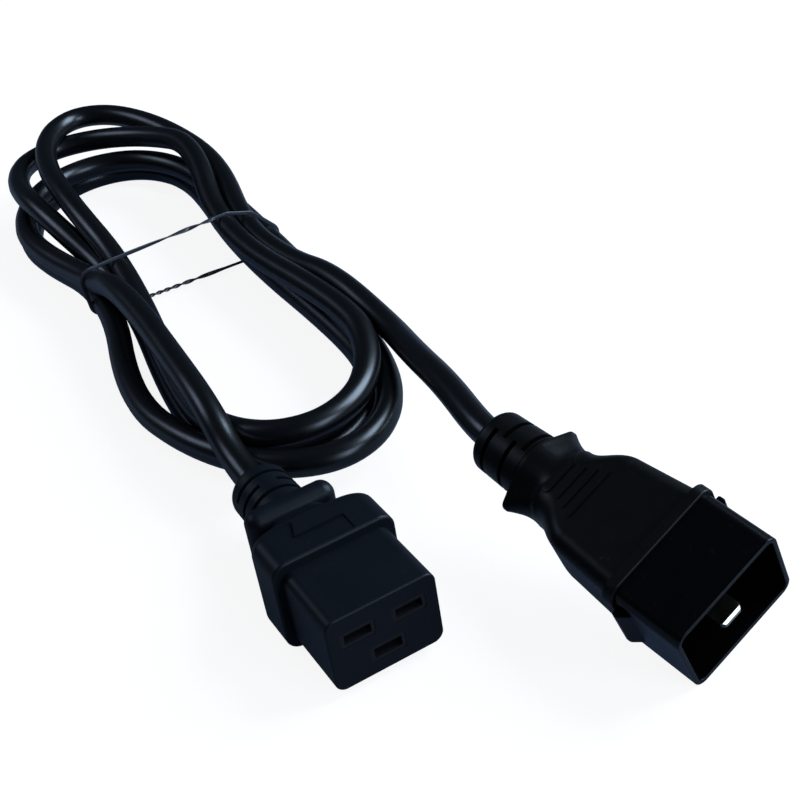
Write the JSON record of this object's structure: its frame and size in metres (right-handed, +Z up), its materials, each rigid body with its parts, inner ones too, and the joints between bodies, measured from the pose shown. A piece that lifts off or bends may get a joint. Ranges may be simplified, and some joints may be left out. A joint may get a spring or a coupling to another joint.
{
  "type": "c19 power connector",
  "caption": "C19 power connector moulded on its cord, with the C20 plug at the other end and the spare cord tied in a hank.",
  "frame": {"origin": "on the surface, under the middle of the connector's length", "axes": "+X across the connector, +Y from its mating face to its strain relief, +Z up; the mating face looks along -Y"},
  "size_m": [0.0938, 0.3578, 0.0352],
  "materials": {
    "connector_body": "moulded PVC, fine matte",
    "insert": "hard moulded, satin",
    "inner_mould": "as moulded",
    "contact_metal": "formed sheet",
    "blade_metal": "drawn bar, bright",
    "copper": "stranded bare copper",
    "core_line": "extruded PVC, black",
    "core_neutral": "extruded PVC, white",
    "core_earth": "extruded PVC, green",
    "cord_jacket": "extruded PVC, semi-gloss",
    "plug_body": "moulded PVC, fine matte",
    "shroud": "moulded nylon, glossy",
    "tie_wire": "plastic-coated steel wire"
  },
  "bodies": {
    "root": {"connector_housing": "connector_body", "connector_insert": "insert", "connector_inner_mould": "inner_mould", "connector_line_contact": "contact_metal", "connector_line_conductor": "copper", "connector_line_core": "core_line", "connector_neutral_contact": "contact_metal", "connector_neutral_conductor": "copper", "connector_neutral_core": "core_neutral", "connector_earth_contact": "contact_metal", "connector_earth_conductor": "copper", "connector_earth_core": "core_earth", "connector_cord_end": "cord_jacket", "plug_housing": "plug_body", "plug_shroud": "shroud", "plug_inner_mould": "inner_mould", "plug_line_blade": "blade_metal", "plug_line_conductor": "copper", "plug_line_core": "core_line", "plug_neutral_blade": "blade_metal", "plug_neutral_conductor": "copper", "plug_neutral_core": "core_neutral", "plug_earth_blade": "blade_metal", "plug_earth_conductor": "copper", "plug_earth_core": "core_earth", "plug_cord_end": "cord_jacket", "connector_lead": "cord_jacket", "hank": "cord_jacket", "plug_lead": "cord_jacket", "wire_tie": "tie_wire"}
  },
  "joints": []
}
